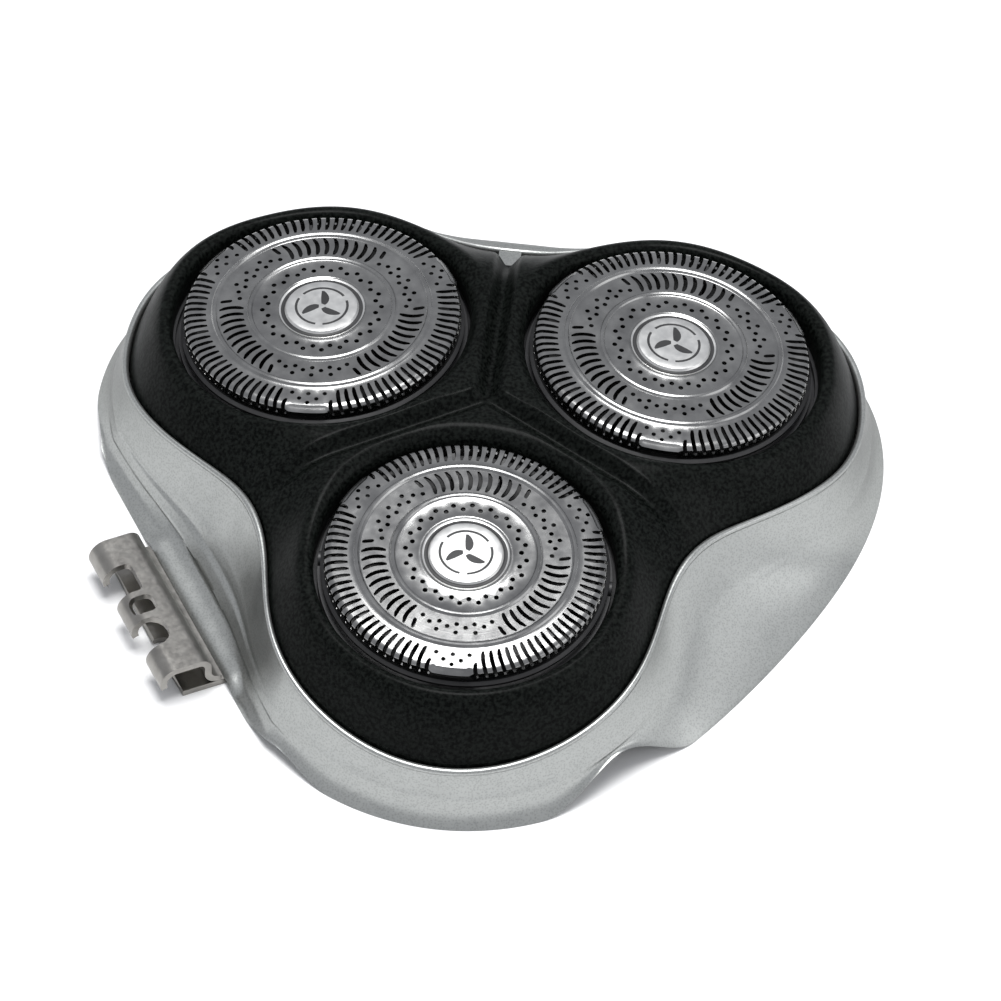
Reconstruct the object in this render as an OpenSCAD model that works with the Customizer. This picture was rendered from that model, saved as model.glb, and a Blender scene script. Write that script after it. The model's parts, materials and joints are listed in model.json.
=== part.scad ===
// Three-headed rotary shaving unit: the snap-on head of a rotary electric shaver.
// Millimetres, +Z out of the shaving face. The origin is on the central axis, in the
// plane of the skirt's lower rim. Head 1 is at the back left, head 2 at the back right
// and head 3 at the front. The hinge clip is on the side between heads 1 and 3.

/* [Layout] */
// Distance between the centres of two neighbouring heads
head_spacing = 30; // [29.6:0.1:31]
// Outward tilt of each head's axis
head_tilt = 5.4; // [3:0.1:6]
// Height of the centre of each guard cap above the lower rim
cap_height = 13.5; // [13.3:0.1:15]

/* [Guard caps] */
// Outer radius of a guard cap
cap_r = 11.8; // [11.5:0.1:11.9]
// Thickness of the guard's sheet steel
cap_t = 0.3; // [0.2:0.05:0.35]
// Height of the guard's side wall
cap_wall = 2.2; // [1.8:0.1:2.3]
// Number of hair slots round the guard's rim
rim_slots = 72; // [48:12:90]
// Radius of the plate at the centre of a guard
disc_r = 3.1; // [2.5:0.1:3.5]

/* [Cutters] */
// Number of blades on each cutter
blades = 15; // [9:1:18]
// Radius of the cutter's blade ring
cutter_r = 10.9; // [10:0.1:10.9]
// Radius of the drive socket in the cutter carrier
socket_r = 1.6; // [1.2:0.1:2]
// Depth of the drive socket
socket_depth = 3.2; // [2.5:0.1:3.4]

/* [Motion] */
// How far each head can be pressed in
float_travel = 1.5; // [0.5:0.1:1.8]
// Radial running clearance of a pin in its bore
running_gap = 0.05; // [0.02:0.01:0.1]

/* [Skirt] */
// Thickness of the silver shell
shell_t = 1.3; // [1:0.1:1.5]
// Height of the two cut-outs in the skirt's lower edge
notch_h = 3.1; // [1:0.1:3.2]
// Height of the shallow rise at each end of the hinge side
hinge_rise = 1.1; // [0:0.1:1.5]
// Distance of the straight hinge side from the central axis
hinge_side = 28; // [27.5:0.1:30]

/* [Hinge clip] */
// Thickness of the clip's sheet steel
clip_t = 0.6; // [0.4:0.1:0.8]
// Width of one finger
finger_w = 3.1; // [2.5:0.1:3.5]
// Distance between the centres of two fingers
finger_pitch = 6.2; // [5.5:0.1:6.5]
// Radius of the hinge rod that the curled fingers hold
rod_r = 0.95; // [0.8:0.05:1.1]

/* [Lock] */
// Radius of the lock wheel's disc
wheel_r = 7.6; // [6:0.1:8]
// Number of grip flutes on the lock wheel
wheel_flutes = 18; // [12:1:24]

/* [Hidden] */
$fn = 96;
eps = 0.01;
head_r = head_spacing / sqrt(3);
head_angles = [150, 30, 270];
waist_angles = [90, -30, -150];
hinge_angle = -150;
catch_angle = 30;
steel = [0.72, 0.72, 0.71];
satin_silver = [0.76, 0.78, 0.77];
face_black = [0.05, 0.055, 0.06];
dark_plastic = [0.13, 0.13, 0.14];
grey_plastic = [0.42, 0.44, 0.46];

// Heights along a head's own axis, from the top of its cap
flange_r = 12.1;
tilt_gap = 0.7;
holder_top = -cap_wall - tilt_gap;
holder_bottom = -4.6;
holder_in_r = 11.2;
holder_out_r = 12.3;
holder_flange_r = 13.1;
well_r = 12.55;
sleeve_top = -3.3;
sleeve_lip_t = 0.3;
sleeve_in_r = 13.4;
sleeve_out_r = 14.2;
pressed_spring = 2.8;
ring_top = holder_bottom - float_travel - pressed_spring;
ring_bottom = ring_top - 1;
sleeve_bottom = ring_top + 0.1;
ring_in_r = 9.6;
ring_out_r = 13.9;
blade_top = -0.5;
blade_base = -2.8;
blade_ring_t = 0.6;
hub_bottom = -8.2;
hub_r = 3.6;
stud_r = 0.9;
stud_tip = -3.6;

// Face and shell
lip_drop = 0.6;
cover_t = 1.4;
groove_depth = 1.1;
groove_half_w = 1.3;
bead_w = 0.75;
bead_h = 0.3;
crease_out = 0.35;
crease_up = 0.5;
back_ledge = 1.25;
back_angle = 90;
face_steps = 96;
face_rows = 15;
shell_steps = 144;

// Central stack, from the lower rim upwards
wheel_bottom = 0.6;
wheel_disc = 2.7;
wheel_top = 4.0;
plate_bottom = 4.2;
plate_top = 5.9;
shelf_bottom = 2.7;
shelf_top = 3.7;
deck_bottom = 4.2;
deck_top = 5.6;
wall_t = 1.5;
core_bottom = 6.0;
core_top = 9.0;
axle_r = 1.5;
screw_waist_r = 16.6;
screw_r = 0.8;
pillar_r = 1.7;
pillar_top = 9.4;
rivet_r = 0.7;
rivet_out = 23.6;
clip_shift = 2.2;
clip_slot_in = 21.5;
pad_t = 0.6;
hook_top = 3.0;
tab_reach = 11.5;
tab_bottom = 3.2;
pillar_bottom = 5.2;
well_seam = 7;

// ---------------------------------------------------------------- outlines

// Angle from the nearest head's centre line, -60 to 60
function from_head(a) = ((a + 30 + 360) % 120) - 60;
function lobed(f, c) = c[0] + c[1] * cos(3 * f) + c[2] * cos(6 * f) + c[3] * cos(12 * f);

// Edge of the black face: radius and height at angle a
function face_edge_r(a) = lobed(from_head(a), [27.95, 6.3, -0.64, 0.18]);
function face_edge_z(a) = cap_height + lobed(from_head(a), [-6.12, -1.86, -0.24, 0.15]);

// Lower edge of the skirt: the lobed outline, cut off straight on the hinge side
function off_hinge(a) = ((a - hinge_angle + 540) % 360) - 180;
function straight_r(a) = abs(off_hinge(a)) < 60 ? hinge_side / cos(off_hinge(a)) : 1000;
function skirt_r(a) = min(lobed(from_head(a), [32.95, 2.98, 0.15, 0]), straight_r(a));

function ramp(x) = let (c = max(0, min(1, x))) c * c * (3 - 2 * c);

// Height of the skirt's lower edge above the rim plane: a deep cut-out on each flank
// and a shallow rise at each end of the hinge side, placed by their angle from the hinge
function bump(h, start, peak, stop) =
    ramp((h - start) / (peak - start)) * (1 - ramp((h - peak) / (stop - peak)));
function cut_out(a) =
    let (h = abs(off_hinge(a)))
    notch_h * bump(h, 74, 87, 101) + hinge_rise * bump(h, 26, 35, 45);

// Top of the face without its grooves: three tilted planes, rounded down to the edge
function plane_z(r, f) =
    cap_height - lip_drop - (r * cos(f) - head_r) * tan(head_tilt);
function shoulder_w(f) = 5.4 - 2 * cos(3 * f);
function shoulder(r, a) =
    let (f = from_head(a), u = 1 - (face_edge_r(a) - r) / shoulder_w(f))
    u > 0 ? u * u : 0;
function face_z(r, a) =
    let (f = from_head(a), drop = plane_z(face_edge_r(a), f) - face_edge_z(a))
    plane_z(r, f) - drop * shoulder(r, a);
function groove(r, a) =
    let (n = r * sin(60 - abs(from_head(a))))
    groove_depth * (1 - ramp(n / groove_half_w)) * (1 - shoulder(r, a));

function at(r, a, z) = [r * cos(a), r * sin(a), z];

// ---------------------------------------------------------------- helpers

// Puts its children on the axis of head i, with the cap's top centre at their origin
module on_head(i) {
    rotate([0, 0, head_angles[i]])
        translate([head_r, 0, cap_height])
            rotate([0, head_tilt, 0])
                children();
}

// A tube about the Z axis from height low to height high
module tube(r_out, r_in, low, high) {
    difference() {
        translate([0, 0, low])
            cylinder(r = r_out, h = high - low);
        translate([0, 0, low - 1])
            cylinder(r = r_in, h = high - low + 2);
    }
}

module rod(r, low, high) {
    translate([0, 0, low])
        cylinder(r = r, h = high - low);
}

// Outline of the seating flange inside the skirt
function seat_r(a) = skirt_r(a) - 2.6 - 0.8 * cut_out(a);

// A flat outline with a radius for each angle, two degrees apart
outline_angles = [0 : 2 : 358];
module outline(radii) {
    polygon([for (k = [0 : len(radii) - 1]) radii[k] * [cos(2 * k), sin(2 * k)]]);
}

// Outline of the chassis wall: it follows the skirt in the lobes, the face in the waists
// and stays out of sight behind the cut-outs
function wall_r(a) = min(skirt_r(a) - 2.9 - 0.9 * cut_out(a), face_edge_r(a) - 0.1);

// A closed band: each row of the section is a ring of points round the axis
module ring_solid(rows, steps) {
    n = len(rows);
    faces = [for (j = [0 : n - 1], k = [0 : steps - 1])
        let (k2 = (k + 1) % steps, j2 = (j + 1) % n)
        [j * steps + k, j * steps + k2, j2 * steps + k2, j2 * steps + k]];
    polyhedron(points = [for (row = rows, p = row) p], faces = faces, convexity = 6);
}

// ---------------------------------------------------------------- shell and face

// Extra width of the shell's shoulder behind the face, in the waist opposite head 3
function ledge_w(a) =
    let (off = abs(((a - back_angle + 540) % 360) - 180))
    back_ledge * (1 - ramp((off - 3) / 24));

// Section of the shell at angle a, as [radius, height] points
function shell_section(a) =
    let (
        er = face_edge_r(a), ez = face_edge_z(a), sr = skirt_r(a),
        ledge = ledge_w(a), outer_r = er + bead_w + ledge, outer_z = ez - 0.15 - 0.3 * ledge,
        cr = outer_r + crease_out * (sr - outer_r), cz = crease_up * outer_z,
        lz = cut_out(a), lr = sr + (cr - sr) * lz / cz * 0.9,
        mr = (cr + lr) / 2 - 0.15, mz = (cz + lz) / 2)
    [[lr - shell_t, lz], [lr, lz], [mr, mz], [cr, cz], [outer_r + 0.1, outer_z - 0.5],
     [outer_r, outer_z], [er + 0.45, ez + bead_h], [er + 0.1, ez],
     [er + 0.1, ez - 1.6], [cr - shell_t, max(cz - 0.3, lz + 0.5)]];

module outer_shell() {
    sections = [for (k = [0 : shell_steps - 1]) shell_section(k * 360 / shell_steps)];
    rows = [for (j = [0 : len(sections[0]) - 1])
        [for (k = [0 : shell_steps - 1])
            at(sections[k][j][0], k * 360 / shell_steps, sections[k][j][1])]];
    color(satin_silver)
        difference() {
            ring_solid(rows, shell_steps);
            clip_slot();
        }
}

// One ring of points on the top or the underside of the face cover
function face_row(t, top) = [for (k = [0 : face_steps - 1])
    let (a = k * 360 / face_steps, r = t * face_edge_r(a))
    top ? at(r, a, face_z(r, a) - groove(r, a))
        : at(t * (face_edge_r(a) - cover_t), a, face_z(r, a) - cover_t)];

module face_cover() {
    tops = [for (j = [1 : face_rows]) face_row(sin(90 * j / face_rows), true)];
    unders = [for (j = [face_rows : -1 : 1]) face_row(sin(90 * j / face_rows), false)];
    rows = concat(tops, unders);
    n = len(rows);
    points = concat([for (row = rows, p = row) p],
        [[0, 0, face_z(0, 0) - groove(0, 0)], [0, 0, face_z(0, 0) - cover_t]]);
    sides = [for (j = [0 : n - 2], k = [0 : face_steps - 1])
        let (k2 = (k + 1) % face_steps, a = j * face_steps, b = a + face_steps)
        [a + k2, a + k, b + k, b + k2]];
    top_cap = [for (k = [0 : face_steps - 1]) [n * face_steps, k, (k + 1) % face_steps]];
    last = (n - 1) * face_steps;
    low_cap = [for (k = [0 : face_steps - 1])
        [n * face_steps + 1, last + (k + 1) % face_steps, last + k]];
    color(face_black)
        difference() {
            polyhedron(points = points, faces = concat(sides, top_cap, low_cap),
                convexity = 8);
            for (i = [0 : 2])
                on_head(i)
                    rotate([0, 0, well_seam]) {
                        rod(well_r, -20, 10);
                        rod(sleeve_out_r + 0.15, -20, sleeve_top + 0.15);
                    }
        }
}

// Three threaded pillars bonded under the cover, one in each valley between two heads
module cover_pillars() {
    color([0.75, 0.6, 0.3])
        for (a = waist_angles)
            rotate([0, 0, a])
                translate([screw_waist_r, 0, 0])
                    difference() {
                        rod(pillar_r, pillar_bottom, pillar_top);
                        rod(screw_r + 0.02, 0, pillar_top - 1);
                    }
}

// ---------------------------------------------------------------- chassis and lock

module clip_slot() {
    rotate([0, 0, hinge_angle])
        translate([clip_slot_in, clip_shift - clip_w() / 2 - 0.3, -1])
            cube([20, clip_w() + 0.6, clip_top() + 1.1]);
}

// The pad under the deck that the clip's leaf is riveted to
module clip_pad() {
    rotate([0, 0, hinge_angle])
        translate([20, clip_shift - 6, clip_top() + 0.05])
            cube([4.8, 12, pad_t]);
}

module chassis() {
    color(dark_plastic)
        difference() {
            union() {
                // flange that the shaver's body seats on
                linear_extrude(0.8)
                    difference() {
                        outline([for (a = outline_angles) seat_r(a)]);
                        outline([for (a = outline_angles) wall_r(a) - wall_t]);
                    }
                // side wall, shelf and deck
                linear_extrude(shelf_top)
                    difference() {
                        outline([for (a = outline_angles) wall_r(a)]);
                        outline([for (a = outline_angles) wall_r(a) - wall_t]);
                    }
                translate([0, 0, shelf_bottom])
                    linear_extrude(shelf_top - shelf_bottom)
                        outline([for (a = outline_angles) wall_r(a) - 0.2]);
                translate([0, 0, shelf_top - 0.1])
                    linear_extrude(deck_top - shelf_top + 0.1)
                        outline([for (a = outline_angles)
                            min(face_edge_r(a) - 1.9, wall_r(a) - 0.45)]);
                clip_pad();
                for (i = [0 : 2])
                    on_head(i)
                        rod(sleeve_out_r, sleeve_bottom, sleeve_top);
                rod(6, core_bottom, core_top);
                for (a = waist_angles)
                    rotate([0, 0, a]) {
                        translate([0, -1.2, deck_bottom])
                            cube([18, 2.4, core_top - deck_bottom - 0.5]);
                        lock_hook();
                    }
            }
            for (i = [0 : 2])
                on_head(i) {
                    rod(well_r + 0.1, -20, 10);
                    rod(sleeve_in_r, -20, sleeve_top - sleeve_lip_t);
                    rod(ring_out_r + 0.15, -20, sleeve_bottom - 0.05);
                }
            rod(9, shelf_bottom - 1, core_bottom);
            rod(tab_reach + 0.3, hook_top + 0.05, plate_bottom + 0.1);
            rod(axle_r + 0.02, 0, core_top + 1);
            for (a = waist_angles)
                rotate([0, 0, a])
                    translate([screw_waist_r, 0, 0]) {
                        rod(screw_r + 0.15, 0, 20);
                        rod(pillar_r + 0.1, pillar_bottom - 0.02, 20);
                    }
            clip_slot();
            rivets(rivet_r + 0.02, 0, 0.1);
        }
}

// A post between two heads, with a ledge that one tab of the lock wheel rests on
module lock_hook() {
    translate([tab_reach + 0.5, -1.2, 2.2])
        cube([1.5, 2.4, deck_bottom - 2.1]);
    translate([10.6, -1.3, 2.2])
        cube([3, 2.6, hook_top - 2.2]);
}

module retaining_plate() {
    color(grey_plastic)
        difference() {
            union() {
                for (i = [0 : 2])
                    on_head(i)
                        rod(ring_out_r, ring_bottom, ring_top);
                rod(8, plate_bottom, plate_top);
            }
            for (i = [0 : 2])
                on_head(i)
                    rod(ring_in_r, -20, -5);
            rod(axle_r + 1.1, 0, 20);
        }
}

module lock_wheel() {
    color([0.2, 0.3, 0.42])
        difference() {
            union() {
                rod(wheel_r, wheel_disc, wheel_top);
                rod(4.6, wheel_bottom, wheel_disc);
                // finger bar
                translate([-wheel_r + 0.6, -1, wheel_bottom])
                    cube([2 * wheel_r - 1.2, 2, wheel_disc - wheel_bottom]);
                // neck that runs in the retaining plate
                rod(axle_r + 1, wheel_top, plate_top);
                for (a = waist_angles)
                    rotate([0, 0, a])
                        translate([6, -1.6, tab_bottom])
                            cube([tab_reach - 6, 3.2, wheel_top - tab_bottom]);
            }
            rod(axle_r + running_gap, 0, 20);
            rod(2.9, 0, 1.6);
            for (k = [0 : wheel_flutes - 1])
                rotate([0, 0, k * 360 / wheel_flutes + 10])
                    translate([wheel_r + 0.25, 0, 0])
                        rod(0.6, 0, 3.1);
        }
}

module lock_screw() {
    color(steel)
        difference() {
            union() {
                rod(axle_r, 1.3, core_top - 0.4);
                rod(2.8, 0.7, 1.5);
            }
            rotate([0, 0, 40])
                translate([-3, -0.35, 0])
                    cube([6, 0.7, 1.1]);
        }
}

module cover_screws() {
    color(steel)
        for (a = waist_angles)
            rotate([0, 0, a])
                translate([screw_waist_r, 0, 0])
                    difference() {
                        union() {
                            rod(screw_r, 2, pillar_top - 1.3);
                            rod(2 * screw_r, 1.5, shelf_bottom - 0.02);
                        }
                        translate([-2, -0.25, 1])
                            cube([4, 0.5, 1]);
                    }
}

// ---------------------------------------------------------------- hinge and catch

function clip_w() = 2 * finger_pitch + finger_w;
function leaf_z() = 0.6;
function clip_top() = leaf_z() + clip_t;
function rod_z() = clip_top() + rod_r;
rod_out = 32.3;

// Side view of the sheet: a leaf under the rim, a rise, and a curl over the hinge rod
module curl_profile() {
    r2 = rod_r + clip_t;
    riser = 29.3;
    difference() {
        union() {
            translate([riser, leaf_z()])
                square([rod_out - riser, rod_z() + r2 - leaf_z()]);
            translate([rod_out, rod_z()])
                circle(r = r2);
        }
        translate([rod_out, rod_z()])
            circle(r = rod_r);
        translate([riser + clip_t, clip_top()])
            square([rod_out - riser - clip_t, 2 * rod_r]);
        translate([rod_out, leaf_z() - 1])
            square([5, 1.9]);
    }
}

module hinge_clip() {
    leaf_start = 22.2;
    gap = finger_pitch - finger_w;
    color([0.6, 0.59, 0.56])
        difference() {
            rotate([0, 0, hinge_angle])
                translate([0, clip_shift, 0])
                    difference() {
                        union() {
                            rotate([90, 0, 0])
                                translate([0, 0, -clip_w() / 2])
                                    linear_extrude(clip_w())
                                        curl_profile();
                            translate([leaf_start, -clip_w() / 2, leaf_z()])
                                cube([rod_out - leaf_start, clip_w(), clip_t]);
                        }
                        // the far gap leaves the leaf whole, the near gap goes through it
                        translate([30.4, -finger_pitch / 2 - gap / 2, clip_top()])
                            cube([8, gap, 10]);
                        translate([30.4, finger_pitch / 2 - gap / 2, -1])
                            cube([8, gap, 10]);
                        // window in the middle finger
                        translate([30.3, -1, clip_top() + rod_r])
                            cube([1.8, 2, 5]);
                    }
            rivets(rivet_r + 0.02, 0, 0.1);
        }
}

// The shanks of the two rivets, and their heads where head_r is set
module rivets(shank_r, head_r, extra) {
    rotate([0, 0, hinge_angle])
        for (s = [-1, 1])
            translate([rivet_out, clip_shift + s * 4.3, 0]) {
                rod(shank_r, leaf_z() - 0.2 - extra, clip_top() + 0.7 + extra);
                if (head_r > 0)
                    rod(head_r, 0.15, leaf_z() - eps);
            }
}

module clip_rivets() {
    color(steel)
        rivets(rivet_r, 1.3, 0);
}

module catch_plate() {
    color(steel)
        rotate([0, 0, catch_angle]) {
            translate([30.5, -3, 0.6])
                cube([0.5, 6, 1.6]);
            translate([29.3, -2, 0.6])
                cube([1.3, 4, 0.5]);
        }
}

// ---------------------------------------------------------------- heads

module cap_holder(i) {
    color(dark_plastic)
        on_head(i)
            difference() {
                union() {
                    rod(holder_out_r, holder_bottom, holder_top);
                    rod(holder_flange_r, holder_bottom, holder_bottom + 0.7);
                    // two nubs that the guard rocks on
                    intersection() {
                        translate([0, -holder_out_r, holder_top])
                            rotate([-90, 0, 0])
                                cylinder(r = tilt_gap - 0.02, h = 2 * holder_out_r);
                        rod(holder_out_r, holder_bottom, 0);
                    }
                }
                rod(holder_in_r, -20, 0);
            }
}

module guard_cap(i) {
    color(steel)
        on_head(i)
            difference() {
                union() {
                    rod(cap_r, -cap_wall, 0);
                    rod(flange_r, -cap_wall, -cap_wall + 0.4);
                    for (r = [6, 9.1])
                        tube(r + 0.3, r - 0.3, -0.1, 0.15);
                }
                rod(cap_r - cap_t, -cap_wall - 1, -cap_t);
                rod(stud_r + 0.02, -5, 5);
                for (k = [0 : rim_slots - 1])
                    rotate([0, 0, (k + 0.5) * 360 / rim_slots])
                        translate([9.8, -0.15, -1.1])
                            cube([3, 0.3, 3]);
            }
}

module cap_disc(i) {
    color([0.85, 0.85, 0.84])
        on_head(i)
            difference() {
                union() {
                    rod(disc_r, eps, 0.25);
                    rod(stud_r, stud_tip, 0.2);
                }
                tube(2.4, 2.1, 0.15, 1);
            }
}

module blade_ring(i) {
    color(steel)
        on_head(i) {
            tube(cutter_r, 3, blade_base - blade_ring_t, blade_base);
            for (k = [0 : blades - 1])
                rotate([0, 0, k * 360 / blades])
                    for (track = [[4.2, 5.4], [6.6, 8.6], [9.7, cutter_r - 0.1]])
                        translate([track[0], -0.2, blade_base - 0.1])
                            cube([track[1] - track[0], 0.4, blade_top - blade_base + 0.1]);
        }
}

module cutter_carrier(i) {
    base = blade_base - blade_ring_t;
    color([0.85, 0.86, 0.88])
        on_head(i)
            difference() {
                union() {
                    rod(2.98, base - 0.1, blade_base + 0.6);
                    rod(5, base - 1, base);
                    for (k = [0 : 2])
                        rotate([0, 0, 120 * k])
                            translate([4, -1.2, base - 0.9])
                                cube([5, 2.4, 0.8]);
                    rod(hub_r, hub_bottom, base - 0.5);
                }
                rod(stud_r + running_gap, stud_tip - 0.2, 0);
                rod(socket_r, hub_bottom - 1, hub_bottom + socket_depth);
                translate([-hub_r - 1, -0.5, hub_bottom - 1])
                    cube([2 * hub_r + 2, 1, 2.2]);
            }
}

// A coil of two and a half turns between the retaining plate and the cap holder
module float_spring(i) {
    wire = 0.25;
    coil_r = 12.4;
    low = ring_top + wire + 0.05;
    high = holder_bottom - wire - 0.05;
    turns = 2.5;
    steps = 70;
    sides = 6;
    points = [for (k = [0 : steps], s = [0 : sides - 1])
        let (a = 360 * turns * k / steps, b = 360 * s / sides,
             r = coil_r + wire * cos(b))
        at(r, a, low + (high - low) * k / steps + wire * sin(b))];
    tube_faces = [for (k = [0 : steps - 1], s = [0 : sides - 1])
        let (s2 = (s + 1) % sides, a = k * sides, b = a + sides)
        [a + s, b + s, b + s2, a + s2]];
    ends = [[for (s = [0 : sides - 1]) s],
        [for (s = [sides - 1 : -1 : 0]) steps * sides + s]];
    color(steel)
        on_head(i)
            polyhedron(points = points, faces = concat(tube_faces, ends), convexity = 8);
}

outer_shell();
face_cover();
cover_pillars();
chassis();
retaining_plate();
lock_wheel();
lock_screw();
cover_screws();
hinge_clip();
clip_rivets();
catch_plate();
cap_holder(0);  // cap_holder_1
cap_holder(1);  // cap_holder_2
cap_holder(2);  // cap_holder_3
guard_cap(0);  // guard_cap_1
guard_cap(1);  // guard_cap_2
guard_cap(2);  // guard_cap_3
cap_disc(0);  // cap_disc_1
cap_disc(1);  // cap_disc_2
cap_disc(2);  // cap_disc_3
blade_ring(0);  // blade_ring_1
blade_ring(1);  // blade_ring_2
blade_ring(2);  // blade_ring_3
cutter_carrier(0);  // cutter_carrier_1
cutter_carrier(1);  // cutter_carrier_2
cutter_carrier(2);  // cutter_carrier_3
float_spring(0);  // float_spring_1
float_spring(1);  // float_spring_2
float_spring(2);  // float_spring_3
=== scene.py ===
"""Looks of a three-headed rotary shaving unit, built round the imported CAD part.

Lengths are in millimetres and angles in degrees until a mesh is made, which is in metres. The
outlines of the skirt and of the black face are the ones that the CAD part is made from.
"""

import json
import math

import bmesh
import bpy
import numpy as np
from mathutils import Matrix, Vector
from mathutils.geometry import delaunay_2d_cdt


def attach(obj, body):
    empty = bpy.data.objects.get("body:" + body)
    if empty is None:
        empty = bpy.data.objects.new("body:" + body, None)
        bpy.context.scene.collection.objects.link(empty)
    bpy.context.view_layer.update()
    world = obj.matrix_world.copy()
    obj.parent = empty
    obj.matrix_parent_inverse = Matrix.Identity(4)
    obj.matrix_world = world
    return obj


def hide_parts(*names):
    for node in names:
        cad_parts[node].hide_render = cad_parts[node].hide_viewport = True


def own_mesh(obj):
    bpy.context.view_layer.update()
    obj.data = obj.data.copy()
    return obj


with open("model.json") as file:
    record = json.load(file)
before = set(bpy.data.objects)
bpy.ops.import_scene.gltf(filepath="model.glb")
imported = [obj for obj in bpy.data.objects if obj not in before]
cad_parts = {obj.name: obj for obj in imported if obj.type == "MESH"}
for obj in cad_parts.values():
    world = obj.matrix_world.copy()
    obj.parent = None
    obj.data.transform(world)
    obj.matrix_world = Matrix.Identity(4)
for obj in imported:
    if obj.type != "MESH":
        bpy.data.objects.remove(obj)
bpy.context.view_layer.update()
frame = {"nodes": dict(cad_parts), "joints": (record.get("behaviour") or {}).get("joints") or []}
NODES = frame["nodes"]
JOINTS = {joint["name"]: joint for joint in frame["joints"]}
MM = 0.001

# ------------------------------------------------------------------ places taken from the frame

HEAD_ANGLES = (150, 30, 270)
HALF_SECTOR = 60  # a head's share of the circle, to either side of its centre line
HINGE_ANGLE = -150
BACK_WAIST = 90
PIVOT_DEPTH = 3.0  # the cutter joint's point lies this far below the top of the cap


def head_frame(i):
    """Matrix in metres from a head's own axes, top of the cap at the origin, to the frame."""
    joint = JOINTS[f"cutter_spin_{i + 1}"]
    up = Vector(joint["axis"]).normalized()
    origin = Vector(joint["pos_m"]) + up * PIVOT_DEPTH * MM
    angle = math.radians(HEAD_ANGLES[i])
    across = up.cross(Vector((math.cos(angle), math.sin(angle), 0))).normalized()
    out = across.cross(up)
    columns = Matrix((out, across, up)).transposed().to_4x4()
    return Matrix.Translation(origin) @ columns


HEADS = [head_frame(i) for i in range(3)]
HEAD_R = HEADS[2].translation.to_2d().length / MM
CAP_HEIGHT = HEADS[2].translation.z / MM
HEAD_TILT = math.degrees(math.acos(HEADS[2].col[2].to_3d().z))

# ------------------------------------------------------------------ outlines, shared with the CAD

# Waves of the face's edge and of the skirt round the circle: mean, 3-, 6- and 12-fold
FACE_EDGE_R = (27.95, 6.3, -0.64, 0.18)
FACE_EDGE_Z = (-6.12, -1.86, -0.24, 0.15)  # measured from the top of the caps
SKIRT_R = (32.95, 2.98, 0.15, 0)

LIP_DROP = 0.6
GROOVE_DEPTH = 1.1
GROOVE_HALF_W = 1.3
SHOULDER_W, SHOULDER_WAVE = 5.4, 2  # width of the face's rounded edge, and its 3-fold wave
SHELL_T = 1.3
BEAD_W = 0.75
CREASE_OUT = 0.35
CREASE_UP = 0.5
HINGE_SIDE = 28.0
NOTCH_H, NOTCH_SPAN = 3.1, (74, 87, 101)  # angles from the hinge: start, peak and end
HINGE_RISE, RISE_SPAN = 1.1, (26, 35, 45)
NOT_HINGE = 1000  # a radius past everything, away from the straight side


def cosd(a):
    return np.cos(np.radians(a))


def sind(a):
    return np.sin(np.radians(a))


def ramp(x):
    """0 up to x = 0, 1 from x = 1, and smooth between them."""
    c = np.clip(x, 0, 1)
    return c * c * (3 - 2 * c)


def bump(h, start, peak, stop):
    """0 at start and stop, 1 at peak."""
    return ramp((h - start) / (peak - start)) * (1 - ramp((h - peak) / (stop - peak)))


def from_head(a):
    """Angle from the nearest head's centre line, -60 to 60."""
    return (np.asarray(a, float) + 390) % 120 - 60


def lobed(f, c0, c3, c6, c12):
    return c0 + c3 * cosd(3 * f) + c6 * cosd(6 * f) + c12 * cosd(12 * f)


def face_edge_r(a):
    return lobed(from_head(a), *FACE_EDGE_R)


def face_edge_z(a):
    return CAP_HEIGHT + lobed(from_head(a), *FACE_EDGE_Z)


def off_angle(a, middle):
    """Angle from middle to a, -180 to 180."""
    return (a - middle + 540) % 360 - 180


def off_hinge(a):
    return off_angle(np.asarray(a, float), HINGE_ANGLE)


def skirt_r(a):
    h = off_hinge(a)
    side = HINGE_SIDE / cosd(np.clip(h, -HALF_SECTOR, HALF_SECTOR))
    straight = np.where(np.abs(h) < HALF_SECTOR, side, NOT_HINGE)
    return np.minimum(lobed(from_head(a), *SKIRT_R), straight)


def cut_out(a):
    """Height of the skirt's lower edge above the table."""
    h = np.abs(off_hinge(a))
    return NOTCH_H * bump(h, *NOTCH_SPAN) + HINGE_RISE * bump(h, *RISE_SPAN)


def plane_z(r, f):
    """Height of a head's tilted plane at radius r, f degrees from the head's centre line."""
    return CAP_HEIGHT - LIP_DROP - (r * cosd(f) - HEAD_R) * math.tan(math.radians(HEAD_TILT))


def shoulder(r, a):
    """0 on the flat of the face, rising to 1 at its edge."""
    width = SHOULDER_W - SHOULDER_WAVE * cosd(3 * from_head(a))
    u = 1 - (face_edge_r(a) - r) / width
    return np.clip(u, 0, 1) ** 2


# ------------------------------------------------------------------ mesh helpers

WELDED_SHARP = 60


def new_object(name, points_mm, faces, matrix=None, sharp_deg=35.0):
    """A smooth-shaded object from points in millimetres, with its sharper edges kept sharp."""
    mesh = bpy.data.meshes.new(name)
    mesh.from_pydata((np.asarray(points_mm, float) * MM).tolist(), [], faces)
    if matrix is not None:
        mesh.transform(matrix)
    mesh.validate()
    mesh.update()
    mesh.polygons.foreach_set("use_smooth", [True] * len(mesh.polygons))
    mesh.set_sharp_from_angle(angle=math.radians(sharp_deg))
    obj = bpy.data.objects.new(name, mesh)
    bpy.context.scene.collection.objects.link(obj)
    return obj


def ring_faces(rows, steps, closed_rows=True):
    """Quads between rings of points that each have the same number of steps."""
    faces = []
    for j in range(rows if closed_rows else rows - 1):
        a, b = j * steps, ((j + 1) % rows) * steps
        for k in range(steps):
            k2 = (k + 1) % steps
            faces.append((a + k, a + k2, b + k2, b + k))
    return faces


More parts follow.
